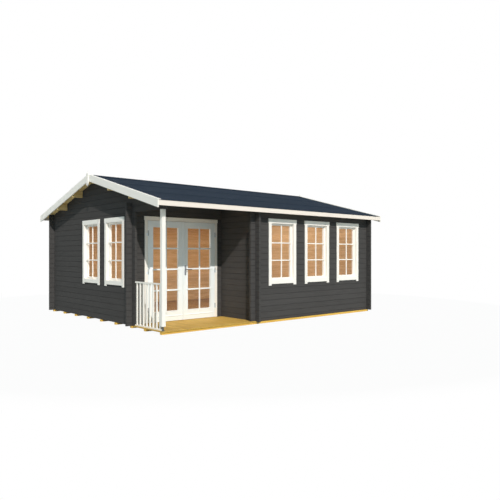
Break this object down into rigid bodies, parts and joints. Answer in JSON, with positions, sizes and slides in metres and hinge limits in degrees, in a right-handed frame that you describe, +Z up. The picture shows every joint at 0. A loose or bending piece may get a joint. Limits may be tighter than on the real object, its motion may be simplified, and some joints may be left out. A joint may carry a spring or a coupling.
{
  "type": "garden house",
  "caption": "Log cabin garden house with crossed log corners, a corner porch with a railing, a glazed double door, small-paned windows and a low gable roof.",
  "frame": {"origin": "on the ground under the middle of the house", "axes": "+X along the ridge to the house's right end, +Y to the back, +Z up"},
  "size_m": [6.162, 5.148, 2.9545],
  "materials": {
    "wall_paint": "matt dark paint",
    "trim_paint": "satin white paint",
    "bare_wood": "planed",
    "roof_felt": "matt mineral",
    "window_glass": "clear",
    "fittings": "brushed"
  },
  "bodies": {
    "house": {"front_wall_long_logs": "wall_paint", "front_wall_short_logs": "wall_paint", "front_plate_log": "wall_paint", "left_wall_long_logs": "wall_paint", "left_wall_short_logs": "wall_paint", "left_gable": "wall_paint", "door_wall_sides": "wall_paint", "door_wall_upper": "wall_paint", "porch_side_wall": "wall_paint", "back_wall": "wall_paint", "right_wall": "wall_paint", "bargeboards_front": "trim_paint", "bargeboards_back": "trim_paint", "finials": "trim_paint", "eaves_fascias": "trim_paint", "front_window_frames": "trim_paint", "front_window_sashes": "trim_paint", "gable_window_frames": "trim_paint", "gable_window_sashes": "trim_paint", "door_jambs": "trim_paint", "door_head": "trim_paint", "door_stops": "trim_paint", "porch_post": "trim_paint", "porch_railing": "trim_paint", "floor_bearers": "bare_wood", "room_floor": "bare_wood", "porch_deck": "bare_wood", "purlins": "bare_wood", "roof_boards_front": "bare_wood", "roof_boards_back": "bare_wood", "door_threshold": "bare_wood", "roofing_front": "roof_felt", "roofing_back": "roof_felt", "front_window_glass": "window_glass", "gable_window_glass": "window_glass", "door_hinge_pins": "fittings", "post_foot": "fittings"},
    "left_door": {"left_door_leaf": "trim_paint", "left_door_glass": "window_glass", "left_door_hinges": "fittings"},
    "right_door": {"right_door_leaf": "trim_paint", "right_door_glass": "window_glass", "right_door_hinges": "fittings", "handle_plates": "fittings"},
    "lever": {"door_lever": "fittings"}
  },
  "joints": [
    {"name": "left_door_swing", "type": "hinge", "parent": "house", "child": "left_door", "pos_m": [-2.501, -1.349, 1.012], "axis": [0, 0, -1], "range_deg": [0, 95]},
    {"name": "right_door_swing", "type": "hinge", "parent": "house", "child": "right_door", "pos_m": [-0.937, -1.349, 1.012], "axis": [0, 0, 1], "range_deg": [0, 95]},
    {"name": "lever_turn", "type": "hinge", "parent": "right_door", "child": "lever", "pos_m": [-1.664, -1.34, 1.04], "axis": [0, 1, 0], "range_deg": [0, 40], "stiffness_Nm_per_rad": 1}
  ]
}
